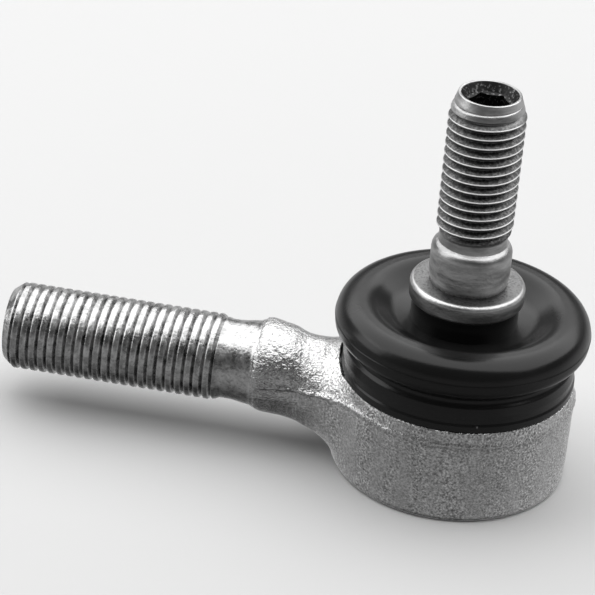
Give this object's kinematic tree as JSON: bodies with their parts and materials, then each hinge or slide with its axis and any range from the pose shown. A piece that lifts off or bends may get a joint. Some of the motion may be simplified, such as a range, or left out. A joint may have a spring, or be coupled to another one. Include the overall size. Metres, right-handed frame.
{
  "type": "tie rod end",
  "caption": "Steering ball joint: a forged cup with a threaded side shank, a flanged threaded ball stud that swings and turns, and a rubber dust boot.",
  "frame": {"origin": "middle of the end cover's flat pad, on the housing's lower face", "axes": "+Z along the ball stud towards its tip, +X away from the threaded shank, which points along -X"},
  "size_m": [0.0926, 0.04, 0.0647],
  "materials": {
    "zinc_steel": "zinc plated forging, fine grain",
    "turned_steel": "turned and rolled steel, satin",
    "spring_steel": "dark hardened steel",
    "acetal": "natural moulded acetal",
    "rubber": "black moulded rubber, satin"
  },
  "bodies": {
    "housing": {"housing": "zinc_steel", "upper_bearing_seat": "acetal", "pressure_plate": "spring_steel", "preload_spring": "spring_steel", "end_cover": "zinc_steel", "cover_seal": "rubber", "dust_boot": "rubber", "boot_lower_ring": "spring_steel"},
    "lower_seat": {"lower_bearing_seat": "acetal"},
    "boot_collar": {"boot_upper_ring": "spring_steel"},
    "ball_stud": {"ball_stud": "turned_steel"}
  },
  "joints": [
    {"name": "stud_lean_direction", "type": "hinge", "parent": "housing", "child": "lower_seat", "pos_m": [0, 0, 0.013], "axis": [0, 0, 1], "continuous": true},
    {"name": "stud_lean", "type": "hinge", "parent": "lower_seat", "child": "boot_collar", "pos_m": [0, 0, 0.013], "axis": [0, 1, 0], "range_deg": [-20, 20], "deforming": ["dust_boot"]},
    {"name": "stud_spin", "type": "hinge", "parent": "boot_collar", "child": "ball_stud", "pos_m": [0, 0, 0.013], "axis": [0, 0, 1], "continuous": true}
  ]
}
